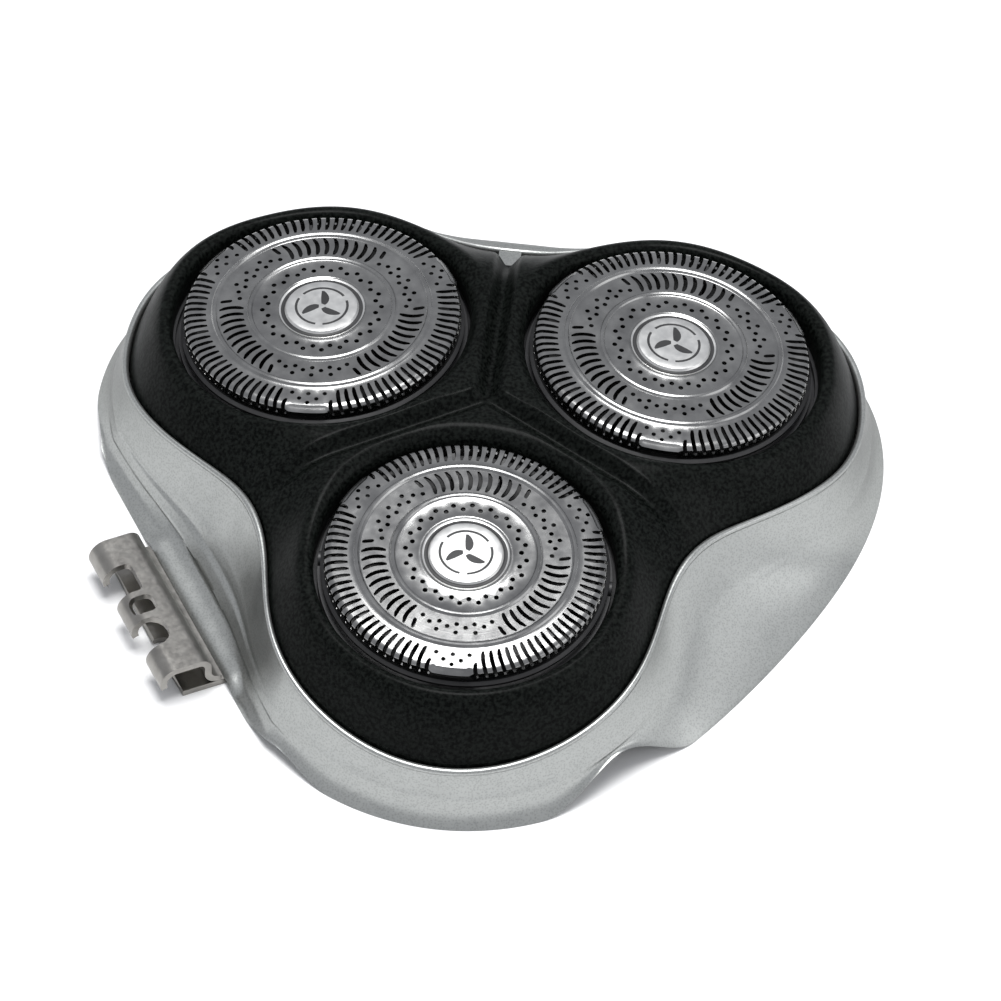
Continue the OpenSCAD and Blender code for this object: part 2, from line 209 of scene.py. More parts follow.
def lathe(profile, steps):
    """Points and faces of a closed profile of (radius, height) pairs turned about the Z axis."""
    turn = np.linspace(0, 2 * math.pi, steps, endpoint=False)
    points = [(r * math.cos(t), r * math.sin(t), z) for r, z in profile for t in turn]
    return points, ring_faces(len(profile), steps)


def join_parts(parts):
    """Several (points, faces) pairs as one."""
    points, faces, base = [], [], 0
    for some_points, some_faces in parts:
        points.extend(some_points)
        faces.extend([tuple(i + base for i in face) for face in some_faces])
        base += len(some_points)
    return points, faces


def triangulated(outlines, holes, marks=()):
    """Flat points and triangles: outlines are closed lines to keep, holes are cut out and the
    triangles inside marks are flagged. The outermost outline is convex and bounds the area."""
    points, edges, polygons = [], [], []
    for line in outlines:
        base = len(points)
        points.extend(line)
        edges.extend([(base + k, base + (k + 1) % len(line)) for k in range(len(line))])
    for shape in [*holes, *marks]:
        base = len(points)
        points.extend(shape)
        polygons.append([base + k for k in range(len(shape))])
    flat = [Vector(p) for p in points]
    found, _, triangles, _, _, sources = delaunay_2d_cdt(flat, edges, polygons, 0, 1e-5)
    kept, marked = [], []
    for triangle, inside in zip(triangles, sources):
        if any(s < len(holes) for s in inside):
            continue
        kept.append(tuple(triangle))
        marked.append(bool(inside))
    return np.array([tuple(p) for p in found], float), np.array(kept), np.array(marked)


def thickened(top, bottom, triangles):
    """A closed sheet between matching upper and lower points."""
    n = len(top)
    sides = {edge: True for a, b, c in triangles for edge in ((a, b), (b, c), (c, a))}
    rim = [edge for edge in sides if (edge[1], edge[0]) not in sides]
    faces = [tuple(t) for t in triangles]
    faces += [(c + n, b + n, a + n) for a, b, c in triangles]
    faces += [(b, a, a + n, b + n) for a, b in rim]
    return np.vstack([top, bottom]), faces


def circle(r, steps, centre=(0.0, 0.0)):
    turn = np.linspace(0, 2 * math.pi, steps, endpoint=False)
    return [(centre[0] + r * math.cos(t), centre[1] + r * math.sin(t)) for t in turn]


def weld(obj, distance_mm):
    """Merges points that coincide, drops loose ones and turns the faces the same way. The sharp
    edges are found again afterwards."""
    bm = bmesh.new()
    bm.from_mesh(obj.data)
    bmesh.ops.remove_doubles(bm, verts=bm.verts, dist=distance_mm * MM)
    bmesh.ops.delete(bm, geom=[v for v in bm.verts if not v.link_faces], context="VERTS")
    bmesh.ops.recalc_face_normals(bm, faces=bm.faces)
    bm.to_mesh(obj.data)
    bm.free()
    obj.data.set_sharp_from_angle(angle=math.radians(WELDED_SHARP))


# ------------------------------------------------------------------ materials


class Surface:
    """A principled material whose colour, roughness and relief come from procedural nodes."""

    def __init__(self, name, metallic=0.0, specular=0.5, coat=0.0, coat_roughness=0.1):
        self.material = bpy.data.materials.new(name)
        self.material.use_nodes = True
        self.tree = self.material.node_tree
        self.shader = self.tree.nodes["Principled BSDF"]
        self.shader.inputs["Metallic"].default_value = metallic
        self.shader.inputs["Specular IOR Level"].default_value = specular
        self.shader.inputs["Coat Weight"].default_value = coat
        self.shader.inputs["Coat Roughness"].default_value = coat_roughness
        self.place = self.add("ShaderNodeTexCoord").outputs["Object"]
        self.normal = None

    def add(self, kind, **settings):
        node = self.tree.nodes.new(kind)
        for key, value in settings.items():
            setattr(node, key, value)
        return node

    def join(self, source, target):
        self.tree.links.new(source, target)

    def noise(self, scale, detail, roughness=0.5, place=None):
        node = self.add("ShaderNodeTexNoise")
        node.inputs["Scale"].default_value = scale
        node.inputs["Detail"].default_value = detail
        node.inputs["Roughness"].default_value = roughness
        self.join(place or self.place, node.inputs["Vector"])
        return node.outputs["Fac"]

    def cells(self, scale):
        node = self.add("ShaderNodeTexVoronoi")
        node.inputs["Scale"].default_value = scale
        self.join(self.place, node.inputs["Vector"])
        return node.outputs["Distance"]

    def stretched(self, scale):
        node = self.add("ShaderNodeMapping")
        node.inputs["Scale"].default_value = scale
        self.join(self.place, node.inputs["Vector"])
        return node.outputs["Vector"]

    def radius(self, matrix):
        """Distance from the axis of a head, for marks left by turning and grinding."""
        centre = matrix.translation
        shift = self.add("ShaderNodeVectorMath", operation="SUBTRACT")
        shift.inputs[1].default_value = centre
        self.join(self.place, shift.inputs[0])
        along = self.add("ShaderNodeVectorMath", operation="DOT_PRODUCT")
        along.inputs[1].default_value = matrix.col[2].to_3d()
        self.join(shift.outputs["Vector"], along.inputs[0])
        axis = self.add("ShaderNodeVectorMath", operation="SCALE")
        axis.inputs[0].default_value = matrix.col[2].to_3d()
        self.join(along.outputs["Value"], axis.inputs["Scale"])
        flat = self.add("ShaderNodeVectorMath", operation="SUBTRACT")
        self.join(shift.outputs["Vector"], flat.inputs[0])
        self.join(axis.outputs["Vector"], flat.inputs[1])
        length = self.add("ShaderNodeVectorMath", operation="LENGTH")
        self.join(flat.outputs["Vector"], length.inputs[0])
        return length.outputs["Value"]

    def colour(self, fac, low, high, start=0.3, stop=0.7):
        node = self.add("ShaderNodeValToRGB")
        node.color_ramp.elements[0].position = start
        node.color_ramp.elements[0].color = (*low, 1)
        node.color_ramp.elements[1].position = stop
        node.color_ramp.elements[1].color = (*high, 1)
        self.join(fac, node.inputs["Fac"])
        self.join(node.outputs["Color"], self.shader.inputs["Base Color"])

    def rough(self, fac, low, high):
        node = self.add("ShaderNodeMapRange")
        node.inputs["From Min"].default_value = 0.3
        node.inputs["From Max"].default_value = 0.7
        node.inputs["To Min"].default_value = low
        node.inputs["To Max"].default_value = high
        self.join(fac, node.inputs["Value"])
        self.join(node.outputs["Result"], self.shader.inputs["Roughness"])

    def relief(self, height, depth_mm, strength):
        """Relief whose height runs from 0 to depth_mm. Calls after the first add to it."""
        node = self.add("ShaderNodeBump")
        node.inputs["Strength"].default_value = strength
        node.inputs["Distance"].default_value = depth_mm * MM
        self.join(height, node.inputs["Height"])
        if self.normal is not None:
            self.join(self.normal, node.inputs["Normal"])
        self.normal = node.outputs["Normal"]
        self.join(self.normal, self.shader.inputs["Normal"])


PLASTIC_GRAIN = 1500
TURNED_RINGS = 9000


def paint_surface():
    s = Surface("satin_silver_paint", metallic=0.85, coat=0.1, coat_roughness=0.35)
    flakes = s.cells(5200)
    s.colour(flakes, (0.31, 0.32, 0.31), (0.41, 0.42, 0.41), 0.1, 0.6)
    s.rough(s.noise(420, 4), 0.28, 0.38)
    s.shader.inputs["Specular Tint"].default_value = (0.3, 0.3, 0.3, 1)
    s.relief(s.noise(3800, 2), 0.012, 0.55)
    s.relief(s.noise(150, 2), 0.02, 0.35)
    return s.material


def black_surface():
    s = Surface("fine_textured_black", specular=0.03, coat=0.055, coat_roughness=0.24)
    grain = s.noise(2600, 3, 0.6)
    s.colour(s.noise(3400, 3), (0.0008, 0.0012, 0.001), (0.0075, 0.009, 0.008), 0.38, 0.62)
    s.rough(s.noise(300, 3), 0.40, 0.50)
    s.relief(grain, 0.03, 0.6)
    return s.material


def plastic_surface(name, low, high, rough=(0.4, 0.55)):
    s = Surface(name)
    s.colour(s.noise(PLASTIC_GRAIN * 0.25, 3), low, high)
    s.rough(s.noise(PLASTIC_GRAIN * 0.4, 2), *rough)
    s.relief(s.noise(PLASTIC_GRAIN, 2), 0.02, 0.6)
    return s.material


def metal_surface(name, low, high, rough, stretch=(1, 1, 1), grain=900, depth=0.006):
    s = Surface(name, metallic=1.0)
    place = s.stretched(stretch)
    s.colour(s.noise(grain * 0.3, 4, place=place), low, high)
    s.rough(s.noise(grain, 3, place=place), *rough)
    s.relief(s.noise(grain * 1.6, 3, place=place), depth, 0.5)
    return s.material


def turned_surface(name, matrix, low, high, rough, depth=0.004):
    """Bright metal with fine circular marks about a head's axis."""
    s = Surface(name, metallic=1.0)
    distance = s.radius(matrix)
    marks = s.add("ShaderNodeTexNoise", noise_dimensions="1D")
    marks.inputs["Scale"].default_value = TURNED_RINGS
    marks.inputs["Detail"].default_value = 2
    s.join(distance, marks.inputs["W"])
    s.colour(s.noise(500, 4), low, high)
    s.rough(s.noise(1200, 3), *rough)
    s.relief(marks.outputs["Fac"], depth, 0.5)
    return s.material


# Dark material for the centre plates' etched mark, which is print, and also for painted shade: the
# guards' flanges and the groove round each plate get it so that they look shadowed
PRINT_AND_PAINTED_SHADE = plastic_surface("etched_mark_and_painted_shade", (0.012, 0.012, 0.013), (0.025, 0.025, 0.026), (0.4, 0.55))


def put(obj, *materials):
    obj.data.materials.clear()
    for material in materials:
        obj.data.materials.append(material)


# ------------------------------------------------------------------ silver shell

WALL_ROWS = 44
BEAD_R = 0.33
SLOT_MIDDLE, SLOT_HALF = 2.2, 8.05  # the clip's slot, measured along the hinge side
SLOT_FADE = 2.2
SLOT_TOP = 0.64
SLOT_BLEND = 2.2  # the wall's lowest part is lifted over the clip's slot, up to this height
SLOT_REACH = 45  # the slot lies within this angle of the hinge side's middle
BACK_LEDGE = 1.25  # extra width of the shell's shoulder behind the back waist
LEDGE_FLAT, LEDGE_FADE = 3, 24  # the ledge is full up to one angle and fades over the other
LEDGE_DROP = 0.3  # how far the ledge slopes down, as a share of its width
TOP_OUT, TOP_DOWN = 0.72, 0.24  # top of the outer wall, from the edge of the face
HOLLOW_LOW, HOLLOW_HIGH = 0.22, 0.10  # depth of the wall's hollow below and above the crease
SMOOTHINGS = 5
NOTCH_LEAN = 0.9  # how closely the edge of a notch follows the slope of the wall
TONGUE_HALF_W = 0.95
TONGUE_LENGTH = 1.7
TONGUE_PAST = 0.3  # the tongue runs on past the edge of the face by this much
TONGUE_LIFT = 0.12
TONGUE_T = 0.6
TONGUE_STEPS = 8
LINES_FLAT, LINES_FADE = 27, 12  # the hinge side's lines, full and fading as the ledge does
LINE_HOLLOW, LINE_HOLLOW_TOP = 0.42, 2.15
LINE_CREASE, LINE_CREASE_Z, LINE_CREASE_W = 0.14, 3.65, 0.16
LINE_STEP = 0.1  # the wall above the crease lies further in by this much


def shell_section(a):
    """Section of the shell at angle a, as a closed line of (radius, height) points."""
    er, ez, sr = float(face_edge_r(a)), float(face_edge_z(a)), float(skirt_r(a))
    from_hinge = float(off_hinge(a))
    along = HINGE_SIDE * math.tan(math.radians(np.clip(from_hinge, -HALF_SECTOR, HALF_SECTOR)))
    past_slot = abs(along - SLOT_MIDDLE) - SLOT_HALF
    lift = SLOT_TOP * (1 - float(ramp(past_slot / SLOT_FADE)))
    if abs(from_hinge) >= SLOT_REACH:
        lift = 0
    lz = float(cut_out(a))
    from_waist = abs(off_angle(a, BACK_WAIST))
    ledge = BACK_LEDGE * (1 - float(ramp((from_waist - LEDGE_FLAT) / LEDGE_FADE)))
    outer_r, outer_z = er + BEAD_W + ledge, ez - 0.15 - LEDGE_DROP * ledge
    cr, cz = outer_r + CREASE_OUT * (sr - outer_r), CREASE_UP * outer_z
    lr = sr + (cr - sr) * lz / cz * NOTCH_LEAN
    top = (er + TOP_OUT + ledge, ez - TOP_DOWN - LEDGE_DROP * ledge)

    # outer wall: a slightly hollow flare up to the crease, then the steeper band
    s = np.linspace(0, 1, WALL_ROWS)
    share = math.hypot(cr - lr, cz - lz)
    share /= share + math.hypot(top[0] - cr, top[1] - cz)
    low, high = np.clip(s / share, 0, 1), np.clip((s - share) / (1 - share), 0, 1)
    r = lr + (cr - lr) * low + (top[0] - cr) * high
    z = lz + (cz - lz) * low + (top[1] - cz) * high
    hollow = HOLLOW_LOW * np.sin(math.pi * low) + HOLLOW_HIGH * np.sin(math.pi * high)
    for _ in range(SMOOTHINGS):
        r[1:-1] = (r[:-2] + 2 * r[1:-1] + r[2:]) / 4
        z[1:-1] = (z[:-2] + 2 * z[1:-1] + z[2:]) / 4
    lean = math.atan2(top[1] - lz, lr - top[0])
    hollow += hinge_relief(a, z)
    r = r - hollow * math.sin(lean)
    z = z - hollow * math.cos(lean)
    z = z + lift * (1 - ramp(z / SLOT_BLEND))
    lz = max(lz, lift)
    wall = list(zip(r[1:], z[1:]))

    ledge_row = [(er + 0.74 + ledge * t, ez - 0.22 - LEDGE_DROP * ledge * t * t)
                 for t in (0.75, 0.5, 0.25, 0.0)]
    turn = np.radians(np.linspace(-30, 180, 12))
    bead = [(er + 0.45 + BEAD_R * math.cos(t), ez - 0.06 + BEAD_R * math.sin(t)) for t in turn]
    inner = [(er + 0.12, ez - 0.8), (er + 0.12, ez - 1.6),
             (cr - SHELL_T, max(cz - 0.3, lz + 0.5)), (lr - SHELL_T, lz + 0.1)]
    lower = [(lr - SHELL_T + 0.1, lz), (lr - 0.12, lz), (lr - 0.03, lz + 0.04)]
    return lower + wall + ledge_row + bead + inner


def hinge_relief(a, z):
    """Depth of the two long lines along the hinge side: a soft hollow and a fine crease."""
    reach = 1 - ramp((abs(float(off_hinge(a))) - LINES_FLAT) / LINES_FADE)
    hollow = LINE_HOLLOW * ramp((z - 0.2) / 1.2) * (1 - ramp((z - LINE_HOLLOW_TOP) / 0.3))
    crease = LINE_CREASE * np.exp(-(((z - LINE_CREASE_Z) / LINE_CREASE_W) ** 2))
    crease = crease + LINE_STEP * ramp((z - 3.5) / 0.5)
    return reach * (hollow + crease * (z > 2.5))


def tongue():
    """Silver tongue of the shell that fills the end of the valley at the back waist."""
    across = np.linspace(-TONGUE_HALF_W, TONGUE_HALF_W, TONGUE_STEPS + 1)
    edge = float(face_edge_r(BACK_WAIST))
    inner = edge - TONGUE_LENGTH
    rho = math.dist((0, inner), HEADS[0].translation.to_2d() / MM)
    inner_z = float(face_height(np.array(0.0), np.array(inner), np.array(rho))) + TONGUE_LIFT
    outer_z = float(face_edge_z(BACK_WAIST)) + TONGUE_LIFT
    rise = (outer_z - inner_z) / (TONGUE_LENGTH + TONGUE_PAST)
    top = [(x, r, inner_z + rise * (r - inner))
           for r in np.linspace(inner, edge + TONGUE_PAST, TONGUE_STEPS + 1) for x in across]
    low = [(x, y, z - TONGUE_T) for x, y, z in top]
    last, row, count = TONGUE_STEPS, TONGUE_STEPS + 1, len(top)
    faces = []
    for j in range(last):
        for i in range(last):
            k = j * row + i
            faces.append((k, k + 1, k + 1 + row, k + row))
            faces.append((count + k, count + k + row, count + k + 1 + row, count + k + 1))
    rim = ([(k, k + 1) for k in range(last)]
           + [(j * row + last, (j + 1) * row + last) for j in range(last)]
           + [(last * row + k + 1, last * row + k) for k in reversed(range(last))]
           + [((j + 1) * row, j * row) for j in reversed(range(last))])
    faces += [(b, a, count + a, count + b) for a, b in rim]
    return top + low, faces


def build_shell():
    angles = np.arange(-180, 180, 0.5)
    sections = [shell_section(a) for a in angles]
    rows = len(sections[0])
    points = [(sections[k][j][0] * cosd(a), sections[k][j][0] * sind(a), sections[k][j][1])
              for j in range(rows) for k, a in enumerate(angles)]
    points, faces = join_parts([(points, ring_faces(rows, len(angles))), tongue()])
    shell = new_object("silver_shell", points, faces, sharp_deg=50)
    put(shell, paint_surface())
    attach(shell, "root")
    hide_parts("outer_shell")


# ------------------------------------------------------------------ black face

WELL_R = 12.65
LIP_R = 14.0
LIP_ROUND = 1.3
FACE_STEPS = 240
FACE_ROWS = 34
BACK_DEEPER = 0.55  # the valley deepens by this much towards the back waist
CREST_H, CREST_W = 0.16, 0.75  # soft crest of the face along the wells' lips
FACE_SKIRT_H, FACE_SKIRT_IN = 1.3, 0.985  # the face's edge turned down inside the shell
WELL_STEPS = (1.4, 0.5)  # depths of the well's wall below its lip
OUTSIDE = 30.0  # a distance from a head's axis that is past its petal everywhere
HALVINGS = 44


def face_height(x, y, rho):
    """Height of the face at a point, rho being the distance from the nearest head's axis."""
    r, a = np.hypot(x, y), np.degrees(np.arctan2(y, x))
    f = from_head(a)
    edge = shoulder(r, a)
    drop = plane_z(face_edge_r(a), f) - face_edge_z(a)
    near_back = (np.abs(off_angle(a, BACK_WAIST)) < HALF_SECTOR / 2) & (r > 8)
    fade = np.where(near_back, 1 - 0.1 * edge, 1 - edge)
    n = r * sind(HALF_SECTOR - np.abs(f))
    depth = GROOVE_DEPTH + BACK_DEEPER * ramp((r - 14) / 5) * near_back
    groove = depth * (1 - ramp(n / GROOVE_HALF_W)) * fade
    q = np.clip((LIP_R - rho) / (LIP_R - WELL_R), 0, 1)
    rounding = LIP_ROUND * (1 - np.sqrt(1 - q * q * 0.96))
    crest = CREST_H * np.exp(-(((rho - LIP_R) / CREST_W) ** 2)) * ramp(n / 1.6)
    return plane_z(r, f) - drop * edge - groove - rounding + crest


def petal_reach(phi):
    """How far the petal of a head reaches from that head's axis, in each direction phi."""
    near, far = np.full(phi.shape, WELL_R), np.full(phi.shape, OUTSIDE)
    for _ in range(HALVINGS):
        mid = (near + far) / 2
        x, y = HEAD_R + mid * np.cos(phi), mid * np.sin(phi)
        a = np.degrees(np.arctan2(y, x))
        inside = (np.abs(a) <= HALF_SECTOR) & (np.hypot(x, y) <= face_edge_r(a + 30))
        near, far = np.where(inside, mid, near), np.where(inside, far, mid)
    return near


def petal_directions():
    """Directions round a head, mirror-symmetric, with the petal's corners among them."""
    corner = face_edge_r(BACK_WAIST)
    waist = math.atan2(corner * sind(HALF_SECTOR), corner * cosd(HALF_SECTOR) - HEAD_R)
    base = np.linspace(-math.pi, math.pi, FACE_STEPS, endpoint=False)
    for target in (waist, -waist):
        base[np.argmin(np.abs(base - target))] = target
    return base


def build_face():
    phi = petal_directions()
    reach = petal_reach(phi)
    share = np.linspace(0, 1, FACE_ROWS)
    parts = []
    for i, head in enumerate(HEADS):
        spin = Matrix.Rotation(math.radians(HEAD_ANGLES[i]), 3, "Z")
        rows = []
        for u in share:
            rho = WELL_R + u * (reach - WELL_R)
            x, y = HEAD_R + rho * np.cos(phi), rho * np.sin(phi)
            turned = np.array([tuple(spin @ Vector((p, q, 0))) for p, q in zip(x, y)])
            z = face_height(turned[:, 0], turned[:, 1], rho)
            rows.append(np.column_stack([turned[:, :2], z]))
        edge = rows[-1]
        on_rim = np.hypot(edge[:, 0], edge[:, 1]) > face_edge_r(
            np.degrees(np.arctan2(edge[:, 1], edge[:, 0]))) - 0.01
        skirt = edge.copy()
        skirt[:, 2] -= np.where(on_rim, FACE_SKIRT_H, 0)
        skirt[:, :2] *= np.where(on_rim, FACE_SKIRT_IN, 1)[:, None]
        well = [rows[0] - np.array(head.col[2].to_3d()) * depth for depth in WELL_STEPS]
        rings = well + rows
        faces = [tuple(reversed(f)) for f in ring_faces(len(rings), len(phi), False)]
        points = np.vstack(rings)
        base = (len(rings) - 1) * len(phi)
        lips = [k for k in range(len(phi)) if on_rim[k] and on_rim[(k + 1) % len(phi)]]
        for k in lips:
            k2 = (k + 1) % len(phi)
            faces.append((base + k, base + k2, len(points) + k2, len(points) + k))
        parts.append((np.vstack([points, skirt]).tolist(), faces))
    points, faces = join_parts(parts)
    face = new_object("black_face", points, faces)
    weld(face, 0.004)
    put(face, black_surface())
    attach(face, "root")
    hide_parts("face_cover")


# ------------------------------------------------------------------ guard caps

CAP_T = 0.24
CAP_R = 11.8
RING_STEPS = 240

# Section of the guard from its central opening outwards, as (radius, height) points
CAP_PROFILE = [
    (3.62, -0.10), (3.70, 0.0), (3.80, 0.05), (3.95, 0.05), (4.05, 0.0),
    (5.80, -0.06), (5.90, -0.02), (5.99, 0.09), (6.12, 0.14), (6.25, 0.09), (6.34, -0.02),
    (6.44, -0.08), (8.82, -0.17), (8.92, -0.12), (9.02, 0.01), (9.16, 0.06), (9.30, 0.00),
    (9.40, -0.13), (9.52, -0.20), (11.20, -0.33), (11.40, -0.38), (11.57, -0.46),
    (11.70, -0.56), (11.78, -0.68), (CAP_R, -0.78), (CAP_R, -1.0), (CAP_R, -1.3),
    (CAP_R, -1.75), (11.95, -1.85), (12.08, -1.95), (12.08, -2.18),
]
RIM_START = 19  # index in the profile of the last point of the flat top
RIM_SLOT_END = -1.25  # height where the outer slots end on the rim
LUG_HALF, LUG_FADE = 7.4, 0.9
LUG_BAR, LUG_GROOVE = (0.60, 0.85, 1.35), (0.36, 0.50, 0.62)  # depths below the top: see bump()
# guard faces wholly below this height get the dark second material: painted shade on the flange
# under the rim
SHADED_FLANGE_TOP = -1.7

# Openings of one of a guard's three like sectors: angles in degrees, radii on the guard
SLOT_W, MIDDLE_SLOT_W, SHORT_SLOT_W = 0.37, 0.38, 0.36
OUTER_SLOTS, OUTER_START, OUTER_PITCH, OUTER_R = 25, 13.8, 3.85, 9.85
LUG_SLOTS, LUG_SLOT_R = (-10.0, 10.0), 10.9
LUG_HOLES = ((10.15, (-7.8, 0, 7.8)), (10.7, (-3.9, 3.9)), (11.13, (0,)))
MIDDLE_SLOTS, MIDDLE_START, MIDDLE_PITCH = 10, 32.6, 6.09
MIDDLE_R = (6.66, 8.72)
SHORT_SLOTS, SHORT_SLOT_R, SHORT_BEND = (-26.2, 26.6), 7.75, 1.6
MIDDLE_HOLES = ((7.16, (-23.7, -11.8, 0, 11.8, 23.7)), (7.48, (-17.7, -5.9, 5.9, 17.7)),
                (8.0, (-11.8, 0, 11.8)))
INNER_HOLES, INNER_HOLE_R = 20, (5.06, 4.62)  # two rings of holes that alternate
LUG_HOLE_R, MIDDLE_HOLE_R, INNER_HOLE_SIZE = 0.20, 0.21, 0.22


def cap_flat(profile):
    """Radius of each profile point once the sheet is flattened: its distance along the sheet."""
    flat = [profile[0][0]]
    for (r0, z0), (r1, z1) in zip(profile, profile[1:]):
        flat.append(flat[-1] + math.hypot(r1 - r0, z1 - z0))
    return np.array(flat)


CAP_FLAT = cap_flat(CAP_PROFILE)


def flat_of_r(r):
    """Flattened radius of a point on the guard's top at radius r."""
    top = [k for k, (_, z) in enumerate(CAP_PROFILE) if z > -0.5]
    return float(np.interp(r, [CAP_PROFILE[k][0] for k in top], CAP_FLAT[top]))


def slot_shape(centre_deg, start, stop, bend, width):
    """Outline in the flattened plane of one hair slot, bent sideways by bend(share) degrees. The
    ends are narrower than the middle, so that they look round."""
    share = np.linspace(0, 1, 7)
    radii = start + (stop - start) * share
    middle = centre_deg + bend(share)
    half = np.degrees(width / 2 / radii)
    half = half * np.where((share == 0) | (share == 1), 0.55, 1)
    left = [(r * cosd(m - h), r * sind(m - h)) for r, m, h in zip(radii, middle, half)]
    right = [(r * cosd(m + h), r * sind(m + h)) for r, m, h in zip(radii, middle, half)]
    return left + right[::-1]


def outer_bend(share):
    u = 2 * share - 1
    return 0.8 * u * u + 0.3 * u


def middle_bend(share):
    u = 2 * share - 1
    return 1.5 * u * u + 0.7 * u


def short_bend(share):
    return SHORT_BEND * share


def hole_shape(angle, radius, size):
    r = flat_of_r(radius)
    return circle(size, 10, (r * cosd(angle), r * sind(angle)))


def cap_openings():
    """Every slot and hole of a guard, in the flattened plane: three like sectors."""
    rim_depths = [-z for _, z in CAP_PROFILE[RIM_START:]]
    outer_end = float(np.interp(-RIM_SLOT_END, rim_depths, CAP_FLAT[RIM_START:]))
    middle_start, middle_end = flat_of_r(MIDDLE_R[0]), flat_of_r(MIDDLE_R[1])
    shapes = []
    for sector in (0, 120, 240):
        for k in range(OUTER_SLOTS):
            shapes.append(slot_shape(sector + OUTER_START + k * OUTER_PITCH,
                                     flat_of_r(OUTER_R), outer_end, outer_bend, SLOT_W))
        for side in LUG_SLOTS:
            shapes.append(slot_shape(sector + side, flat_of_r(LUG_SLOT_R), outer_end,
                                     outer_bend, SLOT_W))
        for row, offsets in LUG_HOLES:
            shapes += [hole_shape(sector + offset, row, LUG_HOLE_R) for offset in offsets]
        for k in range(MIDDLE_SLOTS):
            shapes.append(slot_shape(sector + MIDDLE_START + k * MIDDLE_PITCH, middle_start,
                                     middle_end, middle_bend, MIDDLE_SLOT_W))
        for side in SHORT_SLOTS:
            shapes.append(slot_shape(sector + side, flat_of_r(SHORT_SLOT_R), middle_end,
                                     short_bend, SHORT_SLOT_W))
        for row, offsets in MIDDLE_HOLES:
            shapes += [hole_shape(sector + offset, row, MIDDLE_HOLE_R) for offset in offsets]
    pitch = 360 // INNER_HOLES
    for k in range(INNER_HOLES):
        shapes.append(hole_shape(k * pitch, INNER_HOLE_R[0], INNER_HOLE_SIZE))
        shapes.append(hole_shape(k * pitch + pitch // 2, INNER_HOLE_R[1], INNER_HOLE_SIZE))
    return shapes


def slope(at, places, values, reach):
    """Rise of an interpolated line from reach before to reach after each place."""
    return np.interp(at + reach, places, values) - np.interp(at - reach, places, values)


def on_cap(flat_points):
    """Upper and lower surface points of the guard for points of the flattened plane."""
    flat_r = np.hypot(flat_points[:, 0], flat_points[:, 1])
    theta = np.degrees(np.arctan2(flat_points[:, 1], flat_points[:, 0]))
    radii, heights = np.array(CAP_PROFILE).T
    r, z = np.interp(flat_r, CAP_FLAT, radii), np.interp(flat_r, CAP_FLAT, heights)
    slope_r = slope(flat_r, CAP_FLAT, radii, 0.03)
    slope_z = slope(flat_r, CAP_FLAT, heights, 0.03)
    size = np.hypot(slope_r, slope_z) + 1e-9
    normal_r, normal_z = -slope_z / size, slope_r / size
    # plain lug in the rim between two runs of slots: a groove with a bar below it
    off = np.abs((theta + 60) % 120 - 60)
    lug = 1 - ramp((off - LUG_HALF) / LUG_FADE)
    step = 0.12 * bump(-z, *LUG_BAR) - 0.10 * bump(-z, *LUG_GROOVE)
    r = r + lug * step * 1.3
    top = np.column_stack([r * cosd(theta), r * sind(theta), z])
    inner_r, inner_z = r - CAP_T * normal_r, z - CAP_T * normal_z
    return top, np.column_stack([inner_r * cosd(theta), inner_r * sind(theta), inner_z])


def cap_shape():
    rings = [circle(r, RING_STEPS) for r in CAP_FLAT]
    opening = [circle(CAP_FLAT[0] - 0.001, RING_STEPS)]
    flat, triangles, _ = triangulated(rings, opening + cap_openings())
    keep = np.hypot(*(flat[triangles].mean(axis=1).T)) > CAP_FLAT[0] - 0.02
    top, bottom = on_cap(flat)
    return thickened(top, bottom, triangles[keep])


def build_caps():
    points, faces = cap_shape()
    for i, head in enumerate(HEADS):
        cap = new_object(f"slotted_guard_{i + 1}", points, faces, head, sharp_deg=28)
        put(cap, turned_surface(f"guard_steel_{i + 1}", head, (0.21, 0.21, 0.21),
                                (0.34, 0.34, 0.335), (0.20, 0.28)), PRINT_AND_PAINTED_SHADE)
        # faces low on the flange take the dark second material: painted shade, standing in for the
        # shadow under the guard's rim
        for polygon in cap.data.polygons:
            heights = [points[k][2] for k in faces[polygon.index]]
            polygon.material_index = 1 if max(heights) < SHADED_FLANGE_TOP else 0
        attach(cap, f"guard_{i + 1}")
        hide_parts(f"guard_cap_{i + 1}")


# ------------------------------------------------------------------ centre plates

PLATE_PROFILE = [(0.0, 0.235), (1.0, 0.233), (1.55, 0.23), (1.72, 0.228), (2.4, 0.222),
                 (2.85, 0.21), (3.02, 0.17), (3.10, 0.08), (3.16, -0.02), (3.25, -0.07),
                 (3.5, -0.07), (3.6, -0.03), (3.66, 0.0)]
PLATE_T = 0.12
PLATE_SHADED_GROOVE = (3.16, 3.52)  # groove round the plate, painted dark as shade in the recess
STUD_PROFILE = [(0.9, 0.1), (0.9, -3.45), (0.75, -3.6), (0.02, -3.6), (0.02, 0.1)]
ARC_R = (2.30, 2.08)  # outer and inner radius of the mark's ring
BLADE_START, BLADE_LENGTH, BLADE_SWEEP, BLADE_SPREAD, BLADE_TIP = 0.30, 1.55, 60, 66, 6


def mark_shapes():
    """A plain generic mark: a thin ring of three arcs round a three-bladed spinner."""
    shapes = []
    for k in range(3):
        at = 120 * k
        arc = [at + t for t in np.linspace(8, 112, 13)]
        shapes.append([(ARC_R[0] * cosd(t), ARC_R[0] * sind(t)) for t in arc]
                      + [(ARC_R[1] * cosd(t), ARC_R[1] * sind(t)) for t in reversed(arc)])
        blade = np.linspace(0, 1, 9)
        radii = BLADE_START + BLADE_LENGTH * blade
        lead = [(r, at + BLADE_SWEEP * t) for t, r in zip(blade, radii)]
        trail = [(r, at + BLADE_SWEEP * t + BLADE_SPREAD * (1 - t) + BLADE_TIP)
                 for t, r in zip(blade, radii)]
        shapes.append([(r * cosd(t), r * sind(t)) for r, t in lead]
                      + [(r * cosd(t), r * sind(t)) for r, t in reversed(trail)])
    return shapes


